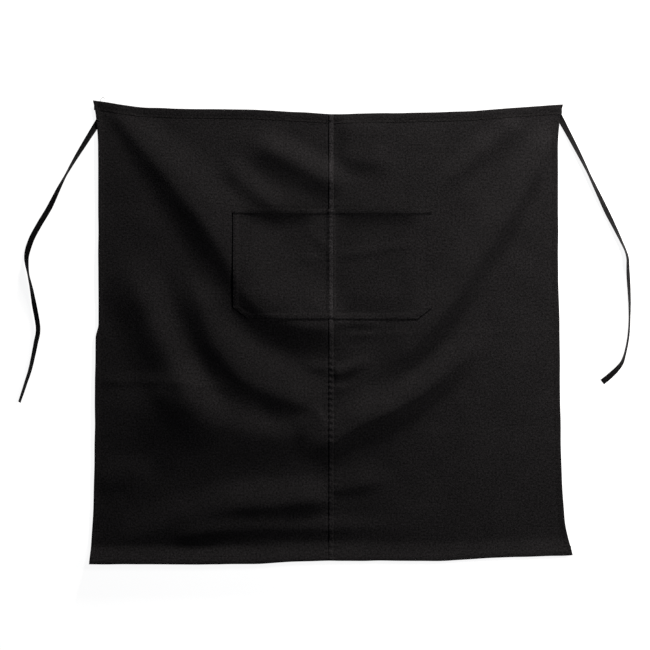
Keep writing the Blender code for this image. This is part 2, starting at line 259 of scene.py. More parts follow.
# --- the folds that the cloth lies in ----------------------------------------
# Each fold is a soft ridge: a route along its steep flank, with the crest on its left, then the ridge's
# height, the widths of its steep and its gentle flank (each read along the route), and how much of its
# length it takes to rise and to die out.
CREST_FROM_ROUTE = 0.37  # of the steep flank's width
STEEP_SHAPE = 0.75
FOLD_REACH = 1.6  # of its widest flank: further out it is flat
FOLDS = [
    # the swag from the upper left corner to the middle, under the pocket's lower corner
    ([(-0.370, 0.365), (-0.347, 0.334), (-0.312, 0.285), (-0.282, 0.246), (-0.251, 0.204), (-0.222, 0.165),
      (-0.197, 0.126), (-0.179, 0.090), (-0.161, 0.055), (-0.135, 0.026), (-0.099, 0.005), (-0.051, -0.008),
      (0.002, -0.011), (0.041, -0.010)],
     [0.0014, 0.0048, 0.0084, 0.0110, 0.0120, 0.0116, 0.0096, 0.0064],
     [0.0180, 0.038, 0.052, 0.058, 0.060, 0.052, 0.040], [0.030, 0.066, 0.096, 0.115, 0.105, 0.070],
     (0.06, 0.10)),
    # the two shorter ones under it on the left
    ([(-0.357, 0.134), (-0.341, 0.067), (-0.320, 0.007), (-0.294, -0.046), (-0.264, -0.104), (-0.236, -0.150),
      (-0.210, -0.196)],
     [0.0086], [0.068], [0.055], (0.28, 0.30)),
    ([(-0.253, 0.121), (-0.236, 0.051), (-0.217, -0.007), (-0.194, -0.049), (-0.158, -0.090),
     (-0.113, -0.114),
      (-0.057, -0.132), (-0.008, -0.148)],
     [0.0040, 0.0086, 0.0106, 0.0106, 0.0086, 0.0056],
     [0.045, 0.058, 0.062, 0.052, 0.036], [0.055, 0.075, 0.090, 0.080, 0.055], (0.24, 0.10)),
    # two short ones between the waist and the pocket, and their ends on the right of the seam
    ([(-0.152, 0.303), (-0.119, 0.285), (-0.083, 0.269), (-0.046, 0.248), (-0.008, 0.230), (0.034, 0.219)],
     [0.0062], [0.044], [0.042], (0.28, 0.22)),
    ([(-0.191, 0.281), (-0.165, 0.248), (-0.139, 0.223), (-0.109, 0.201), (-0.067, 0.179)],
     [0.0036], [0.030], [0.034], (0.30, 0.30)),
    ([(0.005, 0.276), (0.041, 0.269), (0.080, 0.264), (0.121, 0.267)],
     [0.0040], [0.034], [0.070], (0.20, 0.60)),
    ([(0.005, 0.316), (0.041, 0.316), (0.080, 0.313), (0.119, 0.310)],
     [0.0022], [0.040], [0.028], (0.15, 0.50)),
    # the swag from the upper right corner to the middle
    ([(0.067, -0.108), (0.104, -0.080), (0.135, -0.044), (0.166, -0.008), (0.192, 0.024), (0.217, 0.055),
      (0.241, 0.095), (0.267, 0.135), (0.294, 0.176), (0.321, 0.223), (0.346, 0.272), (0.369, 0.343)],
     [0.0034, 0.0082, 0.0112, 0.0120, 0.0116, 0.0104, 0.0084, 0.0046],
     [0.0190, 0.025, 0.027, 0.026, 0.024, 0.020], [0.042, 0.058, 0.062, 0.058, 0.038], (0.20, 0.10)),
    # the strong one below it, which ends at the seam
    ([(-0.054, -0.215), (0.005, -0.189), (0.031, -0.173), (0.064, -0.155), (0.104, -0.139), (0.139, -0.119),
      (0.171, -0.096), (0.197, -0.075), (0.223, -0.051), (0.245, -0.026), (0.266, 0.010)],
     [0.0034, 0.0074, 0.0104, 0.0120, 0.0114, 0.0090, 0.0062, 0.0030],
     [0.0170, 0.022, 0.030, 0.034, 0.034], [0.050, 0.060, 0.056, 0.046], (0.16, 0.22)),
    ([(-0.008, -0.263), (0.031, -0.261), (0.067, -0.254), (0.106, -0.243)],
     [0.0030], [0.0180, 0.024], [0.044, 0.048], (0.14, 0.50)),
    # the faint one nearest the waist on the right
    ([(0.178, 0.210), (0.197, 0.236), (0.222, 0.259), (0.253, 0.284), (0.285, 0.308), (0.318, 0.343)],
     [0.0034], [0.028], [0.034], (0.30, 0.15)),
    # the long low ones above the bottom hem
    ([(-0.377, -0.372), (-0.279, -0.339), (-0.214, -0.321), (-0.158, -0.303), (-0.096, -0.297),
      (-0.021, -0.287), (0.031, -0.282)],
     [0.0020, 0.0030, 0.0048, 0.0070, 0.0078, 0.0046],
     [0.046, 0.048, 0.042, 0.030], [0.044, 0.054, 0.052, 0.044], (0.15, 0.15)),
    ([(-0.279, -0.351), (-0.189, -0.334), (-0.116, -0.329), (-0.051, -0.328), (0.000, -0.328),
     (0.080, -0.328),
      (0.161, -0.333)],
     [0.0036, 0.0036, 0.0030, 0.0020, 0.0008],
     [0.024, 0.022], [0.026], (0.15, 0.30)),
    # the broad slope that turns the lower left away from the light
    ([(-0.357, -0.091), (-0.303, -0.147), (-0.217, -0.186), (-0.124, -0.199), (-0.057, -0.189),
     (0.000, -0.178)],
     [0.0070, 0.0090, 0.0094, 0.0080, 0.0060, 0.0038],
     [0.125, 0.140, 0.125, 0.100, 0.064, 0.036], [0.080, 0.095, 0.085, 0.055, 0.035], (0.24, 0.12)),
    ([(-0.383, -0.274), (-0.354, -0.258), (-0.321, -0.248), (-0.276, -0.248)],
     [0.0020], [0.044], [0.040], (0.30, 0.45)),
    ([(-0.393, -0.088), (-0.320, -0.085), (-0.259, -0.088), (-0.194, -0.095), (-0.135, -0.101)],
     [0.0007], [0.0110], [0.022], (0.12, 0.30)),
    # short ones that the seam pulls, on its right and then on its left
    ([(0.003, 0.008), (0.034, 0.008), (0.067, 0.008), (0.093, -0.002)],
     [0.0022], [0.0140], [0.0180], (0.12, 0.50)),
    ([(0.018, -0.008), (0.047, -0.010), (0.086, -0.008)],
     [0.0012], [0.0080], [0.0120], (0.30, 0.40)),
    ([(0.003, -0.075), (0.024, -0.070), (0.047, -0.060), (0.073, -0.049)],
     [0.0038], [0.0160], [0.020], (0.10, 0.55)),
    ([(0.003, -0.098), (0.021, -0.096), (0.041, -0.090)],
     [0.0014], [0.0100], [0.0120], (0.15, 0.60)),
    ([(-0.051, -0.065), (-0.024, -0.064), (-0.003, -0.067)],
     [0.0018], [0.0140], [0.0180], (0.60, 0.15)),
    ([(-0.070, -0.166), (-0.034, -0.160), (-0.003, -0.145)],
     [0.0036], [0.030], [0.028], (0.50, 0.12)),
]


def route_through(points, per_span=14):
    """A Catmull-Rom curve through points, in two or three dimensions."""
    points = np.asarray(points, float)
    padded = np.vstack([2 * points[0] - points[1], points, 2 * points[-1] - points[-2]])
    t = np.linspace(0.0, 1.0, per_span, endpoint=False)[:, None]
    spans = []
    for a, b, c, d in zip(padded, padded[1:], padded[2:], padded[3:]):
        square, cube = 2 * a - 5 * b + 4 * c - d, 3 * b - a - 3 * c + d
        spans.append(0.5 * (2 * b + (c - a) * t + square * t**2 + cube * t**3))
    return np.vstack(spans + [points[-1:]])


def read_along(values, share):
    return np.interp(share, np.linspace(0.0, 1.0, len(values)), values)


def fold_height(x, y, fold):
    points, heights, steep, gentle, fades = fold
    line = route_through(points)
    length = run_along(line)
    heading = headings(line)
    reach = FOLD_REACH * max(steep + gentle)
    low, high = line.min(0) - reach, line.max(0) + reach
    near = (x > low[0]) & (x < high[0]) & (y > low[1]) & (y < high[1])
    px, py = x[near], y[near]
    best, index = np.full(px.shape, np.inf), np.zeros(px.shape, int)
    for k, (a, b) in enumerate(line):
        distance = (px - a) ** 2 + (py - b) ** 2
        closer = distance < best
        best[closer] = distance[closer]
        index[closer] = k
    dx, dy = px - line[index, 0], py - line[index, 1]
    hx, hy = heading[index, 0], heading[index, 1]
    share = (length[index] + dx * hx + dy * hy) / length[-1]
    low_width, high_width = read_along(steep, share), read_along(gentle, share)
    across = dy * hx - dx * hy - CREST_FROM_ROUTE * low_width
    reached = np.clip(np.where(across > 0, across / high_width, -across / low_width), 0.0, 1.0)
    reached = np.where(across > 0, reached, reached**STEEP_SHAPE)
    profile = 0.5 + 0.5 * np.cos(np.pi * reached)
    strength = smoothstep(share / fades[0]) * smoothstep((1.0 - share) / fades[1])
    height = np.zeros_like(x)
    height[near] = profile * strength * read_along(heights, share)
    return height


UNDULATIONS = ((0.0009, 0.085, 1), (0.00035, 0.034, 2), (0.00012, 0.014, 3))  # height, size, seed


def resting_height(x, y):
    """How high the cloth lies over the surface, before its hems and seam."""
    height = sum(fold_height(x, y, fold) for fold in FOLDS)
    for rise, size, seed in UNDULATIONS:
        height = height + rise * (1.0 + ripple(x, y, size, seed))
    return height + REST_CLEARANCE


# --- the draped cloth: a grid of places that every piece reads ---------------
GRID_STEP = 0.005
GRID_HALF = (0.400, 0.385)


class Drape:
    """Where each point of the flat cloth lies, read smoothly from a grid."""

    def __init__(self):
        self.columns = round(2 * GRID_HALF[0] / GRID_STEP) + 1
        self.rows = round(2 * GRID_HALF[1] / GRID_STEP) + 1
        x, y = np.meshgrid(
            np.linspace(-GRID_HALF[0], GRID_HALF[0], self.columns),
            np.linspace(-GRID_HALF[1], GRID_HALF[1], self.rows),
        )
        self.flat = np.stack([x, y], -1)
        self.places = np.dstack([x, y, resting_height(x, y)])

    def at(self, x, y):
        """The shift in X and Y and the height at flat places, by cubic interpolation."""
        shift = self.places.copy()
        shift[..., :2] -= self.flat
        u = np.clip((x + GRID_HALF[0]) / GRID_STEP, 1.0, self.columns - 2.001)
        v = np.clip((y + GRID_HALF[1]) / GRID_STEP, 1.0, self.rows - 2.001)
        i, j = np.floor(u).astype(int), np.floor(v).astype(int)
        across, along = cubic_weights(u - i), cubic_weights(v - j)
        found = 0.0
        for m in range(4):
            for n in range(4):
                row, column = np.clip(j + m - 1, 0, self.rows - 1), np.clip(i + n - 1, 0, self.columns - 1)
                found = found + (along[m] * across[n])[..., None] * shift[row, column]
        return found


def cubic_weights(t):
    """Weights of four neighbours for a cubic B-spline, which never shows the grid in the shading."""
    return [(1 - t) ** 3 / 6, (3 * t**3 - 6 * t**2 + 4) / 6, (-3 * t**3 + 3 * t**2 + 3 * t + 1) / 6, t**3 / 6]


DRAPE = Drape()


# --- the surface of the panels: hems, seam, puckers --------------------------
HEM_PUCKER_PITCH = 0.0092
SEAM_PUCKER_PITCH = 0.0100
POCKET_PUCKER_PITCH = 0.0088
PUCKER_RISE = 0.00016


def edge_distances(x, y):
    """How far each place is inside the waist, bottom and nearest side edge."""
    side = np.where(x < 0, x - side_x("left", y), side_x("right", y) - x)
    return waist_y(x) - y, y - bottom_y(x), side


def panel_detail(x, y):
    """How far the panel's upper side stands above the draped height."""
    waist, bottom, side = edge_distances(x, y)
    raised = np.zeros_like(x)
    pucker = np.zeros_like(x)
    groove = np.zeros_like(x)
    for distance, hem, along, seed, ramp in (
        (waist, WAIST_HEM, x, 11, 0.012), (bottom, BOTTOM_HEM, x, 12, 0.013), (side, SIDE_HEM, y, 13, 0.008)
    ):
        raised = np.maximum(raised, smoothstep((hem + 0.0012 - distance) / ramp))
        waves = np.sin(2 * np.pi * along / HEM_PUCKER_PITCH + 3.0 * ripple_along(along, 0.04, seed))
        shade = 0.5 + 0.5 * ripple(along, distance * 2, 0.028, seed + 20)
        pucker = pucker + PUCKER_RISE * waves * shade * bell(distance - hem + 0.001, 0.0055)
        groove = groove + 0.00003 * bell(distance - hem + ROW_FROM_HEM_EDGE, 0.00090)
    edge = np.minimum(np.minimum(waist, bottom), side)
    rounding = 0.00025 * (1.0 - np.clip(edge / 0.0008, 0.0, 1.0)) ** 2
    wave = seam_wave(x, y)
    seam = 0.00062 * wave * seam_pull(y) * (0.6 + 0.4 * ripple(y, 9 * x, 0.05, 16)) * bell(x, 0.0095)
    seam = seam - 0.00030 * bell(np.abs(x) - SEAM_HALF - 0.0006, 0.0008)
    curl = bottom_curl(x) * smoothstep((0.032 - bottom) / 0.032)
    raised = CLOTH + HEM_LAYERS * raised
    return raised + pucker + seam + curl + creases(x, y) - pocket_moat(x, y) - groove - rounding


def seam_pull(y):
    """How strongly the seam's stitching puckers the cloth: little above the pocket, more below it."""
    return 0.22 + 0.78 * smoothstep((0.030 - y) / 0.070)


def seam_wave(x, y):
    """The puckers along the seam, from -1 to 1, not the same on its two sides."""
    return np.sin(2 * np.pi * y / SEAM_PUCKER_PITCH + 4.5 * ripple_along(y, 0.035, 15) + 0.25 * np.sign(x))


def bottom_curl(x):
    """How far the bottom hem curls up off the surface."""
    return 0.0092 - 0.0042 * smoothstep((x + 0.20) / 0.35)


# Faint marks where the apron was folded for storage: two ends, then the height of the ridge.
CREASE_WIDTH = 0.0024
CREASES = [
    ((0.006, -0.0045), (0.372, 0.0015), 0.00045),
    ((-0.379, -0.0780), (-0.330, -0.0850), 0.00080),
    ((-0.266, -0.0800), (-0.196, -0.0870), 0.00080),
    ((-0.330, -0.0850), (-0.266, -0.0800), 0.00018),
    ((0.150, 0.352), (0.158, 0.010), 0.00010),
    ((0.012, -0.176), (0.352, -0.158), 0.00010),
]


def creases(x, y):
    height = np.zeros_like(x)
    for (ax, ay), (bx, by), rise in CREASES:
        length = math.hypot(bx - ax, by - ay)
        along = ((x - ax) * (bx - ax) + (y - ay) * (by - ay)) / length
        across = ((y - ay) * (bx - ax) - (x - ax) * (by - ay)) / length
        across = across + 0.0012 * ripple_along(along, 0.04, 17)
        ends = smoothstep(along / 0.03) * smoothstep((length - along) / 0.03)
        uneven = 1.0 + 0.35 * ripple(x, y, 0.03, 18)
        height = height + rise * ends * np.exp(-np.abs(across) / CREASE_WIDTH) * uneven
    return height


def pocket_moat(x, y):
    """The panel sinks a little just outside the pocket, where its stitching pulls."""
    left, right = pocket_sides(y)
    beyond = np.maximum(np.maximum(left - x, x - right), np.maximum(POCKET_BOTTOM - y, y - POCKET_MOUTH))
    return np.where(beyond > -0.001, 0.00055 * bell(beyond - 0.0012, 0.0013), 0.0)


def panel_top(x, y):
    """The draped place of the panel's upper side at flat places (x, y), as an array of points."""
    draped = DRAPE.at(x, y)
    return np.stack([x + draped[..., 0], y + draped[..., 1], draped[..., 2] + panel_detail(x, y)], -1)


def seam_detail(x, y):
    """How far the felled seam's band stands above the panels under it."""
    share = np.abs(x) / SEAM_HALF
    pull = seam_pull(y)
    wave = 0.5 + 0.5 * seam_wave(x, y)
    band = SEAM_RISE * (1.0 - np.clip(share, 0, 1) ** 6)
    rows = (0.00012 + 0.00045 * pull * wave) * bell(np.abs(x) - SEAM_ROW, 0.00080)
    return band - rows - 0.00016 * wave * pull * bell(x, 0.0016)


def centre_top(x, y):
    return lifted(panel_top(x, y), seam_detail(x, y))


# --- the patch pocket --------------------------------------------------------
def pocket_sides(y):
    """The pocket's left and right limits at height y; both lower corners are cut off."""
    cut = CUT_SIZE[0] * np.clip(1.0 - (y - POCKET_BOTTOM) / CUT_SIZE[1], 0.0, 1.0)
    return POCKET_LEFT + cut, POCKET_RIGHT - cut


def pocket_distances(x, y):
    left, right = pocket_sides(y)
    slope = CUT_SIZE[1] / math.hypot(*CUT_SIZE)
    lean = np.where(y < POCKET_BOTTOM + CUT_SIZE[1], slope, 1.0)
    side = np.minimum(x - left, right - x) * lean
    return side, y - POCKET_BOTTOM, POCKET_MOUTH - y


def pocket_gap(x, y):
    """How far the pocket's under side stands above the panel."""
    side, bottom, mouth = pocket_distances(x, y)
    sewn = np.minimum(side, bottom)
    middle = np.abs(x) - SEAM_HALF
    free = np.minimum(sewn, middle)
    gap = 0.00055 * smoothstep((POCKET_TURNING + 0.002 - sewn) / 0.005)
    gap = np.maximum(gap, (SEAM_RISE + 0.0001) * smoothstep((SEAM_HALF + 0.004 - np.abs(x)) / 0.004))
    gap = gap + 0.0013 * smoothstep(free / 0.040) * (1.0 + 0.4 * ripple(x, y, 0.05, 31))
    gap = gap + 0.00085 * smoothstep((MOUTH_HEM + 0.0010 - mouth) / 0.0020)
    opening = bell(mouth, 0.018) * smoothstep(np.minimum(side, middle) / 0.040)
    gap = gap + sum(fold_height(x, y, fold) for fold in POCKET_FOLDS)
    return gap + np.where(x < 0, 0.0038, 0.0034) * opening + 0.00012


# Wrinkles of the pocket alone, told in the same way as the folds of the panels.
POCKET_FOLDS = [
    ([(0.006, 0.117), (0.050, 0.123), (0.100, 0.131), (0.160, 0.138)], [0.0008], [0.012], [0.018],
     (0.15, 0.4)),
    ([(-0.070, 0.118), (-0.040, 0.112), (-0.006, 0.116)], [0.0006], [0.012], [0.016], (0.5, 0.15)),
    ([(-0.052, 0.168), (-0.030, 0.150), (-0.012, 0.128), (-0.006, 0.110)], [0.0007], [0.014], [0.018],
     (0.4, 0.3)),
]


def pocket_detail(x, y):
    """How far the pocket's upper side stands above the panel."""
    side, bottom, mouth = pocket_distances(x, y)
    sewn = np.minimum(side, bottom)
    edge = np.minimum(sewn, mouth)
    along = np.where(side < bottom, y, x)
    waves = np.sin(2 * np.pi * along / POCKET_PUCKER_PITCH + 3.0 * ripple_along(along, 0.04, 33))
    pucker = PUCKER_RISE * waves * bell(sewn - POCKET_ROW, 0.006)
    groove = 0.00009 * bell(sewn - POCKET_ROW, 0.00070)
    groove = groove + 0.00016 * bell(mouth - MOUTH_HEM + ROW_FROM_HEM_EDGE, 0.00080)
    middle = 0.00030 * bell(np.abs(x) - SEAM_ROW, 0.00080)
    pull = 0.00005 * seam_wave(x, y) * bell(x, 0.012)
    lip = np.where(x > 0, 0.00036, 0.00020) * (1.0 - np.clip(edge / 0.0011, 0.0, 1.0)) ** 2
    return pocket_gap(x, y) + CLOTH + pucker + pull - groove - middle + lip


def pocket_top(x, y):
    return lifted(panel_top(x, y), pocket_detail(x, y))


def divider_top(x, y):
    rise = 0.00026 * (1.0 - np.clip(np.abs(x) / SEAM_HALF, 0, 1) ** 4) + 0.00010
    return lifted(pocket_top(x, y), rise)


# --- materials ---------------------------------------------------------------
class Nodes:
    """Short names for making shader nodes and joining them."""

    def __init__(self, name):
        self.material = bpy.data.materials.new(name)
        self.material.use_nodes = True
        self.tree = self.material.node_tree
        self.tree.nodes.clear()

    def node(self, kind, settings=None, **inputs):
        made = self.tree.nodes.new(kind)
        for key, value in (settings or {}).items():
            setattr(made, key, value)
        for key, value in inputs.items():
            socket = made.inputs[int(key[1:])] if key[0] == "i" and key[1:].isdigit() else made.inputs[key]
            if isinstance(value, bpy.types.NodeSocket):
                self.tree.links.new(value, socket)
            else:
                socket.default_value = value
        return made

    def math(self, operation, a, b=0.0, c=0.0):
        return self.node("ShaderNodeMath", {"operation": operation}, i0=a, i1=b, i2=c).outputs[0]

    def times(self, a, b):
        return self.math("MULTIPLY", a, b)

    def plus(self, a, b):
        return self.math("ADD", a, b)

    def scaled(self, value, factor, shift):
        return self.math("MULTIPLY_ADD", value, factor, shift)

    def attribute(self):
        return self.node("ShaderNodeAttribute", {"attribute_name": "flat"}).outputs["Vector"]

    def stretch(self, place, shares):
        made = self.node("ShaderNodeVectorMath", {"operation": "MULTIPLY"}, i0=place, i1=shares)
        return made.outputs["Vector"]

    def remap(self, value, low, high, to_low, to_high):
        made = self.node("ShaderNodeMapRange", {"interpolation_type": "SMOOTHSTEP"}, Value=value)
        for key, number in (("From Min", low), ("From Max", high), ("To Min", to_low), ("To Max", to_high)):
            made.inputs[key].default_value = number
        return made.outputs["Result"]

    def noise(self, place, size, detail=2.0, roughness=0.5):
        made = self.node("ShaderNodeTexNoise", Vector=place, Scale=1.0 / size, Detail=detail,
                         Roughness=roughness)
        return made.outputs["Fac"]


YARN_RUN = 0.0011
GRAIN_SIZE = 0.0030
PATCH_SIZE = 0.045
WEAVE_RELIEF = 0.00007
GRAIN_RELIEF = 0.00060
YARN_RELIEF = 0.00005
LINT = ((0.030, 0.16, 0.00075, 0.10), (0.019, 0.10, 0.00042, 0.16))  # spacing, share, radius, tone


def cotton(name, thread_pitch, colour, mottle, specks, sheen=0.08, seam_highlight=0.0):
    """Black woven cotton: a plain weave, uneven yarns, patches of wear and pale lint, and on the seam a
    painted highlight.
    """
    n = Nodes(name)
    place = n.attribute()
    wander = n.node("ShaderNodeTexNoise", Vector=place, Scale=160.0, Detail=1.0)
    moved = n.node("ShaderNodeVectorMath", {"operation": "MULTIPLY_ADD"}, i0=wander.outputs["Color"],
                   i1=(0.0004, 0.0004, 0.0), i2=place).outputs["Vector"]
    split = n.node("ShaderNodeSeparateXYZ", Vector=moved)
    turn = math.pi / thread_pitch
    across = n.times(split.outputs["X"], turn)
    along = n.times(split.outputs["Y"], turn)
    over = n.times(n.math("SINE", across), n.math("SINE", along))
    warp = n.times(n.math("ABSOLUTE", n.math("COSINE", across)), n.scaled(over, 0.5, 0.5))
    weft = n.times(n.math("ABSOLUTE", n.math("COSINE", along)), n.scaled(over, -0.5, 0.5))
    weave = n.plus(warp, weft)

    streak_a = n.stretch(place, (1.0, 0.05, 1.0))
    streak_b = n.stretch(place, (0.05, 1.0, 1.0))
    yarns = n.plus(n.noise(streak_a, YARN_RUN, 1.0), n.noise(streak_b, YARN_RUN, 1.0))
    grain = n.noise(place, GRAIN_SIZE, 3.0, 0.75)
    patches = n.noise(place, PATCH_SIZE, 3.0)
    tone = n.math("MAXIMUM", n.scaled(grain, mottle, 1.0 - 0.5 * mottle), 0.25)
    tone = n.times(tone, n.scaled(yarns, 0.40, 0.60))
    tone = n.times(tone, n.scaled(patches, 0.50, 0.75))
    tone = n.times(tone, n.scaled(weave, 0.50, 0.72))

    if seam_highlight:
        # painted highlight: paler along the middle of the raised seam, where its top catches the light; most
        # of all where pocket and waist stretch it flat
        flat_place = n.node("ShaderNodeSeparateXYZ", Vector=place)
        middle = n.remap(n.math("ABSOLUTE", flat_place.outputs["X"]), 0.0020, 0.0040, 1.0, 0.0)
        high = n.remap(flat_place.outputs["Y"], -0.06, 0.03, 0.15, 1.0)
        painted_highlight = n.times(n.times(middle, high), n.scaled(grain, 1.2, 0.4))
        tone = n.times(tone, n.scaled(painted_highlight, seam_highlight, 1.0))
    base = n.node("ShaderNodeVectorMath", {"operation": "SCALE"}, i0=colour)
    n.tree.links.new(tone, base.inputs["Scale"])
    shown = base.outputs["Vector"]
    if specks:
        for size, share, radius, strength in LINT:
            lint = n.node("ShaderNodeTexVoronoi", {"feature": "F1"}, Vector=place, Scale=1.0 / size)
            drawn = n.node("ShaderNodeSeparateColor", Color=lint.outputs["Color"]).outputs[0]
            picked = n.math("LESS_THAN", drawn, share)
            near = n.remap(lint.outputs["Distance"], 0.35 * radius / size, radius / size, 1.0, 0.0)
            amount = n.times(n.times(picked, near), 0.85)
            mixed = n.node("ShaderNodeMix", {"data_type": "RGBA"})
            n.tree.links.new(amount, mixed.inputs["Factor"])
            n.tree.links.new(shown, mixed.inputs["A"])
            mixed.inputs["B"].default_value = (strength, strength * 0.97, strength * 0.95, 1.0)
            shown = mixed.outputs["Result"]

    relief = n.plus(n.times(weave, WEAVE_RELIEF), n.times(grain, GRAIN_RELIEF))
    relief = n.plus(relief, n.times(yarns, YARN_RELIEF))
    bump = n.node("ShaderNodeBump", Height=relief, Strength=0.8, Distance=1.0)
    rough = n.scaled(grain, 0.16, 0.80)
    shader = n.node("ShaderNodeBsdfPrincipled", Roughness=rough, Normal=bump.outputs["Normal"])
    n.tree.links.new(shown, shader.inputs["Base Color"])
    shader.inputs["Specular IOR Level"].default_value = 0.10
    shader.inputs["Sheen Weight"].default_value = sheen
    shader.inputs["Sheen Roughness"].default_value = 0.55
    shader.inputs["Sheen Tint"].default_value = (0.50, 0.49, 0.50, 1.0)
    n.node("ShaderNodeOutputMaterial", Surface=shader.outputs["BSDF"])
    return n.material


PLY_PITCH = 0.0009


def thread_material(name):
    """Black polyester thread: two twisted plies with a soft shine."""
    n = Nodes(name)
    place = n.attribute()
    split = n.node("ShaderNodeSeparateXYZ", Vector=place)
    # X runs along the thread and Y round it, in turns
    ply = n.scaled(split.outputs["X"], 2 * math.pi / PLY_PITCH, n.times(split.outputs["Y"], 4 * math.pi))
    twist = n.scaled(n.math("SINE", ply), 0.5, 0.5)
    tone = n.scaled(twist, 0.5, 0.7)
    base = n.node("ShaderNodeVectorMath", {"operation": "SCALE"}, i0=(0.0165, 0.0155, 0.0162))
    n.tree.links.new(tone, base.inputs["Scale"])
    bump = n.node("ShaderNodeBump", Height=n.times(twist, 0.00006), Strength=0.7, Distance=1.0)
    shader = n.node("ShaderNodeBsdfPrincipled", Roughness=n.scaled(twist, -0.12, 0.56),
                    Normal=bump.outputs["Normal"])
    n.tree.links.new(base.outputs["Vector"], shader.inputs["Base Color"])
    shader.inputs["Specular IOR Level"].default_value = 0.22
    n.node("ShaderNodeOutputMaterial", Surface=shader.outputs["BSDF"])
    return n.material


BLACK = (0.0203, 0.0190, 0.0201)
YARN_PITCH = 0.00046
MOTTLE = 5.0
MATERIALS = {
    "panel_cotton": cotton("panel_cotton", YARN_PITCH, BLACK, MOTTLE, True),
    "pocket_cotton": cotton("pocket_cotton", YARN_PITCH, BLACK, MOTTLE, True),
    "turned_cotton": cotton("turned_cotton", YARN_PITCH, (0.0200, 0.0186, 0.0192), MOTTLE, True),
    # the seam's cotton carries a painted highlight down the middle of the seam
    "seam_cotton": cotton("seam_cotton", YARN_PITCH, BLACK, MOTTLE, True, seam_highlight=0.95),
    "tie_cotton": cotton("tie_cotton", 0.00040, (0.0120, 0.0116, 0.0122), 0.80, False),
    "sewing_thread": thread_material("sewing_thread"),
}


def settle(piece, slot, bodies, *nodes):
    """Attaches a finished piece to the left half's body, or else bakes its transform into its mesh, and hides
    the CAD nodes it stands for; the slot is not used.
    """
    if bodies == "left":
        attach(piece, "left_half")
    elif bodies == "right":
        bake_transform(piece)
    else:
        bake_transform(piece)
    if nodes:
        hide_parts(*nodes)
    return piece


# --- stitches ----------------------------------------------------------------
RING_SHARES = np.array([-1.0, -0.86, -0.45, 0.0, 0.45, 0.86, 1.0])
RING_RADII = np.array([0.25, 0.75, 1.0, 1.0, 1.0, 0.75, 0.25])
RING_SIDES = 6


def sew(name, route, surface, bodies, node, seed, pitch=STITCH_PITCH, length=STITCH_LENGTH, rise=0.0):
    """A row of single stitches along a route of flat places: small bowed threads lying on the surface."""
    rng = np.random.default_rng(seed)
    route = np.asarray(route, float)
    run = run_along(route)
    count = max(1, int(round(run[-1] / pitch)))
    middle = (np.arange(count) + 0.5) * run[-1] / count + rng.normal(0, 0.00008, count)
    half = 0.5 * length * (1.0 + rng.normal(0, 0.05, count))
    sideways = rng.normal(0, 0.00007, count)
    lean = rng.normal(0, 0.035, count) + 0.04
    along = middle[:, None] + half[:, None] * RING_SHARES
    x, y = np.interp(along, run, route[:, 0]), np.interp(along, run, route[:, 1])
    heading_x = np.interp(middle + 0.001, run, route[:, 0]) - np.interp(middle - 0.001, run, route[:, 0])
    heading_y = np.interp(middle + 0.001, run, route[:, 1]) - np.interp(middle - 0.001, run, route[:, 1])
    size = np.hypot(heading_x, heading_y)
    heading_x, heading_y = heading_x / size, heading_y / size
    shift = sideways[:, None] + lean[:, None] * half[:, None] * RING_SHARES
    x, y = x - heading_y[:, None] * shift, y + heading_x[:, None] * shift
    place = surface(x, y)
    bow = STITCH_RADIUS * (0.45 - 1.25 * RING_SHARES**2) + rise
    place[..., 2] += bow
    turn = 2 * np.pi * np.arange(RING_SIDES) / RING_SIDES
    radius = STITCH_RADIUS * RING_RADII
    out = np.stack([-heading_y, heading_x, 0 * heading_x], -1)
    ring = (
        np.cos(turn)[None, None, :, None] * out[:, None, None, :]
        + np.sin(turn)[None, None, :, None] * np.array([0.0, 0.0, 1.0])
    ) * radius[None, :, None, None]
    points = place[:, :, None, :] + ring
    rings = len(RING_SHARES)
    index = np.arange(rings * RING_SIDES).reshape(rings, RING_SIDES)
    after = np.roll(index, -1, axis=1)
    quads = np.stack([index[:-1], after[:-1], after[1:], index[1:]], -1).reshape(-1, 4)
    faces = []
    per_stitch = rings * RING_SIDES
    for k in range(count):
        faces.extend((quads + k * per_stitch).tolist())
        faces.append((index[0][::-1] + k * per_stitch).tolist())
        faces.append((index[-1] + k * per_stitch).tolist())
    around = np.broadcast_to(np.arange(RING_SIDES) / RING_SIDES, (count, rings, RING_SIDES))
    flat = np.stack([np.broadcast_to(along[:, :, None], around.shape), around, 0 * around], -1)
    made = add_mesh(name, points.reshape(-1, 3), faces, flat.reshape(-1, 3), MATERIALS["sewing_thread"])
    return settle(made, "sewing_thread", bodies, node)


def straight(a, b, step=0.002):
    a, b = np.asarray(a, float), np.asarray(b, float)
    count = max(2, int(np.linalg.norm(b - a) / step) + 1)
    return a + (b - a) * np.linspace(0.0, 1.0, count)[:, None]


# --- ties: two flat strips, folded and edge-stitched, that leave the upper corners ---
TIE_WIDTH = 0.010
TIE_THICK = 0.0012
TIE_JOIN = 0.009
TIE_SEWN = 0.021
TIE_ROW = 0.0031
TIE_ROUTES = {
    "left": [(-0.4175, 0.2805), (-0.4400, 0.2400), (-0.4591, 0.2022), (-0.4760, 0.1740), (-0.4885, 0.1501),
             (-0.4958, 0.1240), (-0.4934, 0.0979), (-0.4880, 0.0715), (-0.4836, 0.0457), (-0.4771, 0.0065),
             (-0.4811, -0.0196), (-0.4893, -0.0587), (-0.4975, -0.0848), (-0.5072, -0.1142)],
    "right": [(0.4086, 0.2805), (0.4280, 0.2400), (0.4461, 0.2022), (0.4600, 0.1740), (0.4714, 0.1501),
              (0.4820, 0.1240), (0.4836, 0.0979), (0.4860, 0.0457), (0.4852, 0.0065), (0.4820, -0.0196),
              (0.4754, -0.0457), (0.4673, -0.0587), (0.4542, -0.0718), (0.4420, -0.0816)],
}
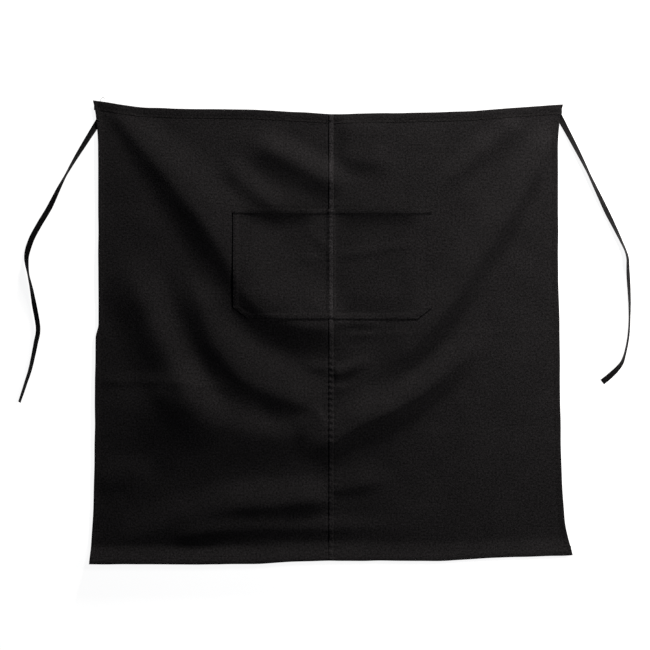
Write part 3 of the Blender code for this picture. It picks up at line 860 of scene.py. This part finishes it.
# how far the strip is turned on its edge, in degrees, along its free length
TIE_TURNS = {
    "left": [(0.0, 14), (0.02, 25), (0.085, 66), (0.14, 18), (0.22, 12), (0.262, 70), (0.315, 30), (0.37, 36),
             (0.42, 48), (0.50, 66)],
    "right": [(0.0, 14), (0.02, 25), (0.09, 60), (0.16, 30), (0.225, 66), (0.275, 48), (0.34, 68), (0.40, 64),
              (0.44, 14), (0.50, 10)],
}


def tie_line(hand):
    pivot = TIE_PIVOTS[hand][:2]
    return route_through([tuple(pivot)] + TIE_ROUTES[hand], 16)


TIE_LINES = {hand: tie_line(hand) for hand in ("left", "right")}
TIE_HEADING = {}
for tie_hand, tie_points in TIE_LINES.items():
    first_step = tie_points[1] - tie_points[0]
    TIE_HEADING[tie_hand] = first_step / np.linalg.norm(first_step)


def tie_frames(hand, start, end=None, step=0.0015):
    """Even places along a tie from `start` before its pivot: centre, heading, side and up directions."""
    line = TIE_LINES[hand]
    back = line[0] - TIE_HEADING[hand] * start
    line = np.vstack([back[None], line]) if start > 0 else line
    run = run_along(line)
    stop = run[-1] if end is None else start + end
    along = np.linspace(0.0, stop, max(2, int(round(stop / step)) + 1))
    centre = np.stack([np.interp(along, run, line[:, k]) for k in (0, 1)], -1)
    heading = headings(centre)
    free = along - start
    turns = np.array(TIE_TURNS[hand])
    angle = np.radians(np.interp(free, turns[:, 0], turns[:, 1], left=0.0))
    window = np.hanning(19)[1:-1]
    angle = np.convolve(np.pad(angle, 8, mode="edge"), window / window.sum(), "valid")
    angle = angle * (1.0 if hand == "left" else -1.0)
    side = np.stack([-heading[:, 1], heading[:, 0]], -1)
    ahead = np.column_stack([heading, np.zeros(len(heading))])
    across = np.column_stack([side * np.cos(angle)[:, None], np.sin(angle)])
    up = np.cross(ahead, across)
    height = 0.00015 + 0.5 * TIE_THICK + 0.5 * TIE_WIDTH * np.abs(np.sin(angle)) * 0.92
    wobble = 0.00025 * (1.0 + ripple_along(along, 0.03, 41 if hand == "left" else 42))
    height = height + wobble * smoothstep(free / 0.03)
    return np.column_stack([centre, height]), ahead, across, up, free


def tie_section():
    """The strip's cross-section: two folded edges, with a slight dip between them."""
    half, thick = TIE_WIDTH / 2, TIE_THICK / 2
    across = np.linspace(-1, 1, 13)
    upper = thick * (0.80 + 0.20 * np.abs(across) ** 2)
    points = [(half * a * 0.94, u) for a, u in zip(across, upper)]
    points += [(half * 0.985, thick * 0.55), (half, 0.0), (half * 0.985, -thick * 0.55)]
    points += [(half * a * 0.94, -u) for a, u in zip(across[::-1], upper)]
    points += [(-half * 0.985, -thick * 0.55), (-half, 0.0), (-half * 0.985, thick * 0.55)]
    return np.array(points)


def tie_strip(name, frames, bodies, node):
    centre, ahead, across, up, free = frames
    section = tie_section()
    count, around = len(centre), len(section)
    crease = ripple(free[:, None] + 0 * section[:, 0], section[:, 0][None] * 3 + 0 * free[:, None], 0.006, 43)
    bulge = 1.0 + 0.14 * crease
    points = (
        centre[:, None, :]
        + section[None, :, 0, None] * across[:, None, :]
        + (section[None, :, 1] * bulge)[..., None] * up[:, None, :]
    )
    place = np.zeros((count, around, 3))
    place[..., 0] = section[None, :, 0]
    place[..., 1] = free[:, None]
    made = add_mesh(name, points.reshape(-1, 3), tube_faces(count, around), place.reshape(-1, 3),
                    MATERIALS["tie_cotton"])
    return settle(made, "tie_cotton", bodies, node)


def tie_surface(hand):
    """A surface function for `sew`: x is the place along the free tie, y the place across it."""
    centre, ahead, across, up, free = tie_frames(hand, TIE_JOIN)

    def surface(along, sideways):
        found = []
        for source in (centre, across, up):
            found.append(np.stack([np.interp(along, free, source[:, k]) for k in range(3)], -1))
        middle, side, above = found
        return middle + side * sideways[..., None] + above * (TIE_THICK * 0.5)

    return surface


make_camera()

for tie_hand in ("left", "right"):
    free_frames = tie_frames(tie_hand, TIE_JOIN)
    tie = tie_strip(f"{tie_hand}_tie_strip", free_frames, f"{tie_hand} tie", f"{tie_hand}_tie")
    sewn_frames = tie_frames(tie_hand, TIE_JOIN + TIE_SEWN, -TIE_JOIN)
    tie_strip(f"{tie_hand}_tie_sewn_end", sewn_frames, tie_hand, f"{tie_hand}_tie_end")
    row_places = np.linspace(0.004, free_frames[4][-1] - 0.002, 240)
    row = np.column_stack([row_places, np.full(240, TIE_ROW)])
    stitches = sew(f"{tie_hand}_tie_edge_stitches", row, tie_surface(tie_hand), f"{tie_hand} tie",
                   f"{tie_hand}_tie_stitching", 50 if tie_hand == "left" else 51)

# --- panels ------------------------------------------------------------------
PANEL_STEP = 0.0030
PANEL_WIDTHS = {"left": 0.383, "right": 0.374}
PANEL_HEIGHT = 0.733
PANEL_BOTTOM = -0.372


def panel_grid(hand):
    """Flat places over one half of the apron, close together near its hems and its seam."""
    sign = sign_of(hand)
    width = PANEL_WIDTHS[hand]
    across = spaced_steps(width, PANEL_STEP, 0.0011, 0.012, 0.013) / width
    up = spaced_steps(PANEL_HEIGHT, PANEL_STEP, 0.0013, 0.020, 0.020) / PANEL_HEIGHT
    u, v = np.meshgrid(across, up)
    x = sign * u * width
    y = PANEL_BOTTOM + v * PANEL_HEIGHT
    for _ in range(4):
        x = side_x(hand, y) * u
        low, high = bottom_y(x), waist_y(x)
        y = low + v * (high - low)
    return x, y


def make_panel(hand):
    x, y = panel_grid(hand)
    if hand == "left":
        x, y = x[:, ::-1], y[:, ::-1]
    top = panel_top(x, y)
    made = grid_shell(f"{hand}_panel_cloth", top, lifted(top, -CLOTH), x, y, MATERIALS["panel_cotton"])
    return settle(made, "panel_cotton", hand, f"{hand}_panel")


def strip_under(name, x, y, low, high, hand, slot, node):
    """A folded layer under the panel: low and high are heights over the draped cloth."""
    draped = DRAPE.at(x, y)
    base = np.stack([x + draped[..., 0], y + draped[..., 1], draped[..., 2]], -1)
    made = grid_shell(name, lifted(base, high), lifted(base, low), x, y, MATERIALS[slot])
    return settle(made, slot, hand, node)


HEM_STEP = 0.0025
HEM_REACH = {("left", "waist"): 0.3865, ("left", "bottom"): 0.3920,
             ("right", "waist"): 0.3765, ("right", "bottom"): 0.3920}
SIDE_HEM_LIFT = 0.00035


def hem_profile(hem):
    """Shares across a hem strip from its fold inwards, and its thickness there in shares of the full one."""
    share = np.concatenate([[0.0, 0.0004 / hem, 0.0010 / hem], np.linspace(0.14, 0.93, 6), [0.975, 1.0]])
    thick = np.concatenate([[0.15, 0.72, 0.97], np.ones(6), [0.9, 0.35]])
    return share, thick


def make_hem(hand, edge, hem):
    sign = sign_of(hand)
    share, thick = hem_profile(hem)
    thick = thick * (HEM_LAYERS - 0.00012)
    inward = (share * hem)[None]
    if edge == "side":
        low_end = bottom_y(np.array([sign * 0.385]))[0] + 0.0003
        high_end = waist_y(np.array([sign * 0.383]))[0] - 0.0003
        y = np.repeat(np.arange(low_end, high_end, HEM_STEP)[:, None], len(share), 1)
        x = side_x(hand, y) - sign * (inward - 0.0001)
    else:
        along = np.arange(0.0012, HEM_REACH[hand, edge], HEM_STEP) * sign
        x = np.repeat(along[:, None], len(share), 1)
        y = waist_y(x) - inward + 0.0001 if edge == "waist" else bottom_y(x) + inward - 0.0001
    if (hand == "left") != (edge == "side"):
        x, y = x[::-1], y[::-1]
    middle = 0.5 * HEM_LAYERS
    lift = SIDE_HEM_LIFT if edge == "side" else 0.0
    return strip_under(f"{hand}_{edge}_hem_fold", x, y, middle - 0.5 * thick + lift, middle + 0.5 * thick,
                       hand, "turned_cotton", f"{hand}_{edge}_hem")


panel_with = {"left": [], "right": []}
for hand in ("left", "right"):
    make_panel(hand)
    for edge, hem in (("waist", WAIST_HEM), ("side", SIDE_HEM), ("bottom", BOTTOM_HEM)):
        panel_with[hand].append(make_hem(hand, edge, hem))


def edge_route(hand, edge, inward, start, stop, step=0.002):
    """Flat places that follow an edge at a distance inside it, between two places along it."""
    along = np.arange(start, stop, step)
    if edge == "side":
        return np.column_stack([side_x(hand, along) - sign_of(hand) * inward, along])
    along = along * sign_of(hand)
    line = waist_y(along) - inward if edge == "waist" else bottom_y(along) + inward
    return np.column_stack([along, line])


ROW_SEED = {"waist": 61, "side": 63, "bottom": 65}
ROW_SPANS = {
    ("left", "waist"): (0.006, 0.373), ("left", "bottom"): (0.006, 0.384), ("left", "side"): (-0.360, 0.370),
    ("right", "waist"): (0.006, 0.364), ("right", "bottom"): (0.006, 0.380),
    ("right", "side"): (-0.350, 0.365),
}
for hand in ("left", "right"):
    for edge, hem in (("waist", WAIST_HEM), ("bottom", BOTTOM_HEM), ("side", SIDE_HEM)):
        row = edge_route(hand, edge, hem - ROW_FROM_HEM_EDGE, *ROW_SPANS[hand, edge])
        panel_with[hand].append(sew(f"{hand}_{edge}_hem_stitches", row, panel_top, hand,
                                    f"{hand}_{edge}_stitching", ROW_SEED[edge] + (hand == "right")))

# --- the felled seam down the middle -----------------------------------------
seam_y = np.arange(float(bottom_y(np.zeros(1))[0]) + 0.0004, float(waist_y(np.zeros(1))[0]) - 0.0002, 0.0015)
seam_x = SEAM_HALF * np.concatenate([[-1.0, -0.97], np.linspace(-0.9, 0.9, 19), [0.97, 1.0]])
gx, gy = np.meshgrid(seam_x, seam_y)
seam_top = centre_top(gx, gy)
seam_under = lifted(panel_top(gx, gy), LAYER_GAP)
seam_top[..., 2] = np.maximum(seam_top[..., 2], seam_under[..., 2] + 0.00006)
# the band's material paints a highlight down its middle, standing in for the light the raised seam catches
seam = grid_shell("centre_seam_band", seam_top, seam_under, gx, gy, MATERIALS["seam_cotton"])
settle(seam, "turned_cotton", "left", "centre_seam_fell")
panel_with["left"].append(seam)
for hand, x_place in (("left", -SEAM_ROW), ("right", SEAM_ROW)):
    row = straight((x_place, seam_y[0] + 0.003), (x_place, seam_y[-1] - 0.003))
    panel_with["left"].append(sew(f"{hand}_seam_stitches", row, centre_top, "left", f"{hand}_seam_stitching",
                                  67 + (hand == "right")))


# --- the pocket --------------------------------------------------------------
def pocket_grid():
    left = spaced_steps(-POCKET_LEFT, 0.0028, 0.0011, 0.011, 0.012)[:-2] + POCKET_LEFT
    right = np.delete(spaced_steps(POCKET_RIGHT, 0.0028, 0.0011, 0.012, 0.011), 1)
    whole = np.concatenate([left, right])
    share = (whole - POCKET_LEFT) / (POCKET_RIGHT - POCKET_LEFT)
    up = spaced_steps(POCKET_MOUTH - POCKET_BOTTOM, 0.0028, 0.0011, 0.020, 0.014) + POCKET_BOTTOM
    s, y = np.meshgrid(share, up)
    near, far = pocket_sides(y)
    return near + s * (far - near), y


px, py = pocket_grid()
pocket_upper = pocket_top(px, py)
# the under side stops a little short of the upper one all round, so that the edge overhangs
POCKET_MIDDLE = 0.5 * (POCKET_MOUTH + POCKET_BOTTOM)
UNDER_SHARES = (0.9970, 0.9940)
qx, qy = px * UNDER_SHARES[0], POCKET_MIDDLE + (py - POCKET_MIDDLE) * UNDER_SHARES[1]
pocket_lower = lifted(panel_top(qx, qy), pocket_gap(qx, qy))
pocket_lower[..., 2] = np.minimum(pocket_lower[..., 2], pocket_upper[..., 2] - 0.00012)
pocket = grid_shell("pocket_patch", pocket_upper, pocket_lower, px, py, MATERIALS["pocket_cotton"])
settle(pocket, "pocket_cotton", "right", "left_pocket_front", "right_pocket_front")


def under_pocket(name, x, y, hand, slot, nodes):
    """A folded layer that lies between the pocket and the panel."""
    panel = panel_top(x, y)
    lower = lifted(panel, LAYER_GAP)
    upper = lifted(panel, np.maximum(pocket_gap(x, y) - 0.00006, 0.00012))
    made = grid_shell(name, upper, lower, x, y, MATERIALS[slot])
    settle(made, slot, hand, *nodes)


inward = np.array([0.0002, 0.0006, 0.002, 0.004, 0.006, POCKET_TURNING - 0.0005, POCKET_TURNING])
depth = np.array([0.0002, 0.0006, 0.002, 0.0045, 0.007, 0.009, MOUTH_HEM - 0.0006, MOUTH_HEM])
ROWS_START = 0.0062
MOUTH_HEM_THICK = 0.00072
TURNING_STEP = 0.0025
for hand in ("left", "right"):
    sign = sign_of(hand)
    outer = POCKET_LEFT if hand == "left" else POCKET_RIGHT
    # side turning
    side_y = np.arange(POCKET_BOTTOM + CUT_SIZE[1] + 0.002, POCKET_MOUTH - MOUTH_HEM - 0.0006, TURNING_STEP)
    gx, gy = np.meshgrid(inward, side_y)
    gx = outer - sign * gx
    flip = slice(None, None, -1) if hand == "right" else slice(None)
    under_pocket(f"{hand}_pocket_side_turning", gx[:, flip], gy[:, flip], hand, "turned_cotton",
                 [f"{hand}_pocket_side_edge"])
    # bottom turning
    bottom_x = np.arange(SEAM_HALF + 0.0005, abs(outer) - CUT_SIZE[0] - 0.002, TURNING_STEP) * sign
    gx, gy = np.meshgrid(np.sort(bottom_x), POCKET_BOTTOM + inward)
    under_pocket(f"{hand}_pocket_bottom_turning", gx, gy, hand, "turned_cotton",
                 [f"{hand}_pocket_bottom_edge"])
    # corner turning
    corner_a = np.array([outer, POCKET_BOTTOM + CUT_SIZE[1]])
    corner_b = np.array([outer - sign * CUT_SIZE[0], POCKET_BOTTOM])
    way = (corner_b - corner_a) / np.linalg.norm(corner_b - corner_a)
    inside = np.array([-sign * CUT_SIZE[1], CUT_SIZE[0]]) / math.hypot(*CUT_SIZE)
    steps = np.linspace(0.003, np.linalg.norm(corner_b - corner_a) - 0.003, 12)
    grid = corner_a + way * steps[:, None, None] + inside * (inward * 0.9)[None, :, None]
    if hand == "right":
        grid = grid[:, ::-1]
    under_pocket(f"{hand}_pocket_corner_turning", grid[::-1, :, 0], grid[::-1, :, 1], hand, "turned_cotton",
                 [f"{hand}_pocket_corner_edge"])
    # the hem along the mouth
    mouth_x = np.arange(SEAM_HALF + 0.0005, abs(outer) - 0.0004, TURNING_STEP) * sign
    gx, gy = np.meshgrid(np.sort(mouth_x), np.sort(POCKET_MOUTH - depth))
    panel = panel_top(gx, gy)
    upper = lifted(panel, pocket_gap(gx, gy) - 0.00005)
    lower = lifted(upper, -MOUTH_HEM_THICK)
    lower[..., 2] = np.maximum(lower[..., 2], panel[..., 2] + 0.00005)
    upper[..., 2] = np.maximum(upper[..., 2], lower[..., 2] + 0.0001)
    made = grid_shell(f"{hand}_pocket_mouth_fold", upper, lower, gx, gy, MATERIALS["turned_cotton"])
    settle(made, "turned_cotton", hand, f"{hand}_pocket_mouth_hem")

    # stitched rows: side, corner and bottom in one run, then the mouth and the divider
    reach = abs(outer) - POCKET_ROW
    cut_inset = POCKET_ROW * math.tan(0.5 * math.atan2(CUT_SIZE[0], CUT_SIZE[1]))
    cut_inset_low = POCKET_ROW * math.tan(0.5 * math.atan2(CUT_SIZE[1], CUT_SIZE[0]))
    top_end = (sign * reach, POCKET_MOUTH - 0.0105)
    turn_high = (sign * reach, POCKET_BOTTOM + CUT_SIZE[1] + cut_inset)
    turn_low = (sign * (abs(outer) - CUT_SIZE[0] - cut_inset_low), POCKET_BOTTOM + POCKET_ROW)
    edge_run = np.vstack([straight(top_end, turn_high), straight(turn_high, turn_low)[1:],
                          straight(turn_low, (sign * ROWS_START, POCKET_BOTTOM + POCKET_ROW))[1:]])
    mouth_row = POCKET_MOUTH - MOUTH_HEM + ROW_FROM_HEM_EDGE
    mouth_run = straight((sign * ROWS_START, mouth_row), (sign * (reach - 0.0032), mouth_row))
    divider_run = straight((sign * SEAM_ROW, POCKET_MOUTH - 0.003), (sign * SEAM_ROW, POCKET_BOTTOM + 0.003))
    for row_name, route, surface, bodies, seed in (
        ("pocket_edge", edge_run, pocket_top, hand, 71),
        ("pocket_mouth", mouth_run, pocket_top, hand, 73),
        ("divider", divider_run, divider_top, "left", 75),
    ):
        sew(f"{hand}_{row_name}_stitches", route, surface, bodies,
                               f"{hand}_{row_name}_stitching", seed + (hand == "right"))
    route = straight((sign * reach, POCKET_MOUTH - 0.0008), (sign * reach, POCKET_MOUTH - 0.0095), 0.0002)
    sew(f"{hand}_pocket_bartack_stitches", route, pocket_top, hand,
                           f"{hand}_pocket_bartack", 77 + (hand == "right"), pitch=0.00045, length=0.0013,
                           rise=0.00012)

divider_y = np.arange(POCKET_BOTTOM + 0.0008, POCKET_MOUTH - 0.0006, 0.0015)
divider_x = 0.93 * SEAM_HALF * np.concatenate([[-1.0, -0.97], np.linspace(-0.9, 0.9, 17), [0.97, 1.0]])
gx, gy = np.meshgrid(divider_x, divider_y)
divider_lower = lifted(pocket_top(gx, gy), 0.00003)
divider_upper = divider_top(gx, gy)
divider_upper[..., 2] = np.maximum(divider_upper[..., 2], divider_lower[..., 2] + 0.00005)
# the divider tuck uses the seam's material, with its painted highlight down the middle
divider = grid_shell("pocket_divider_tuck", divider_upper, divider_lower, gx, gy, MATERIALS["seam_cotton"])
settle(divider, "pocket_cotton", "left", "pocket_divider")

# --- tacks at the ties and a loose end of thread at the upper left corner ----
for hand in ("left", "right"):
    pivot = np.array(TIE_PIVOTS[hand][:2])
    heading = TIE_HEADING[hand]
    beside = np.array([-heading[1], heading[0]])
    middle = pivot - heading * (TIE_JOIN + 0.0100)
    route = straight(middle - beside * 0.0026, middle + beside * 0.0026, 0.0003)
    panel_with[hand].append(sew(f"{hand}_tie_tack_stitches", route, panel_top, hand, f"{hand}_tie_tack",
                                81 + (hand == "right"), pitch=0.0005, length=0.0015, rise=0.00010))


THREAD_SIDES = 6


def loose_thread():
    corner = panel_top(np.array([-0.3835]), np.array([0.3735]))[0]
    points = route_through([corner + np.array(step) for step in (
        (0.0060, -0.0030, -0.0002), (0.0078, 0.0010, 0.0010), (0.0086, 0.0048, 0.0014),
        (0.0102, 0.0076, 0.0008),
        (0.0128, 0.0086, 0.0002), (0.0142, 0.0066, -0.0001), (0.0134, 0.0048, 0.0004))], 6)
    heading = headings(points)
    side = np.cross(heading, (0.0, 0.0, 1.0))
    side /= np.linalg.norm(side, axis=1)[:, None]
    above = np.cross(side, heading)
    turn = 2 * np.pi * np.arange(THREAD_SIDES) / THREAD_SIDES
    ring = np.cos(turn)[None, :, None] * side[:, None] + np.sin(turn)[None, :, None] * above[:, None]
    mesh_points = points[:, None] + 0.00026 * ring
    flat = np.zeros((len(points), THREAD_SIDES, 3))
    flat[..., 0] = 0.001 * np.arange(len(points))[:, None]
    flat[..., 1] = np.arange(THREAD_SIDES) / THREAD_SIDES
    made = add_mesh("loose_thread_end", mesh_points.reshape(-1, 3), tube_faces(len(points), THREAD_SIDES),
                    flat.reshape(-1, 3), MATERIALS["sewing_thread"])
    return settle(made, "sewing_thread", "left")


panel_with["left"].append(loose_thread())

# --- the room: a white surface, two raking lights and a weak sky -------------
FLOOR_HALF = 12.0
FLOOR_HEIGHT = -0.0004


def make_floor():
    n = Nodes("white_surface")
    glow = n.node("ShaderNodeEmission", Color=(1.0, 1.0, 1.0, 1.0), Strength=0.92)
    matte = n.node("ShaderNodeBsdfDiffuse", Color=(0.8, 0.8, 0.8, 1.0))
    both = n.node("ShaderNodeAddShader", i0=glow.outputs[0], i1=matte.outputs[0])
    n.node("ShaderNodeOutputMaterial", Surface=both.outputs[0])
    signs = ((-1, -1), (1, -1), (1, 1), (-1, 1))
    corners = [(i * FLOOR_HALF, j * FLOOR_HALF, FLOOR_HEIGHT) for i, j in signs]
    floor = add_mesh("studio_floor", corners, [(0, 1, 2, 3)], None, n.material)


def make_light(name, place, size, power, colour):
    """A round lamp turned to the middle of the apron."""
    data = bpy.data.lights.new(name, "AREA")
    data.shape = "DISK"
    data.size = size
    data.energy = power
    data.color = colour
    light = bpy.data.objects.new(name, data)
    light.location = place
    yaw = math.atan2(place[1], place[0])
    pitch = math.atan2(math.hypot(place[0], place[1]), place[2])
    light.rotation_euler = (0.0, pitch, yaw)
    light.visible_camera = False
    bpy.context.scene.collection.objects.link(light)


def make_world():
    world = bpy.data.worlds.new("sky")
    world.use_nodes = True
    background = world.node_tree.nodes["Background"]
    background.inputs["Color"].default_value = (0.30, 0.50, 1.0, 1.0)
    background.inputs["Strength"].default_value = 0.016
    bpy.context.scene.world = world


make_floor()
make_world()
make_light("window_top", place=(0.42, 1.60, 0.35), size=0.32, power=26.5, colour=(1.0, 0.955, 0.91))
make_light("window_right", place=(0.90, 0.10, 0.60), size=0.26, power=3.5, colour=(1.0, 0.96, 0.92))
bpy.context.scene.view_settings.view_transform = "Standard"
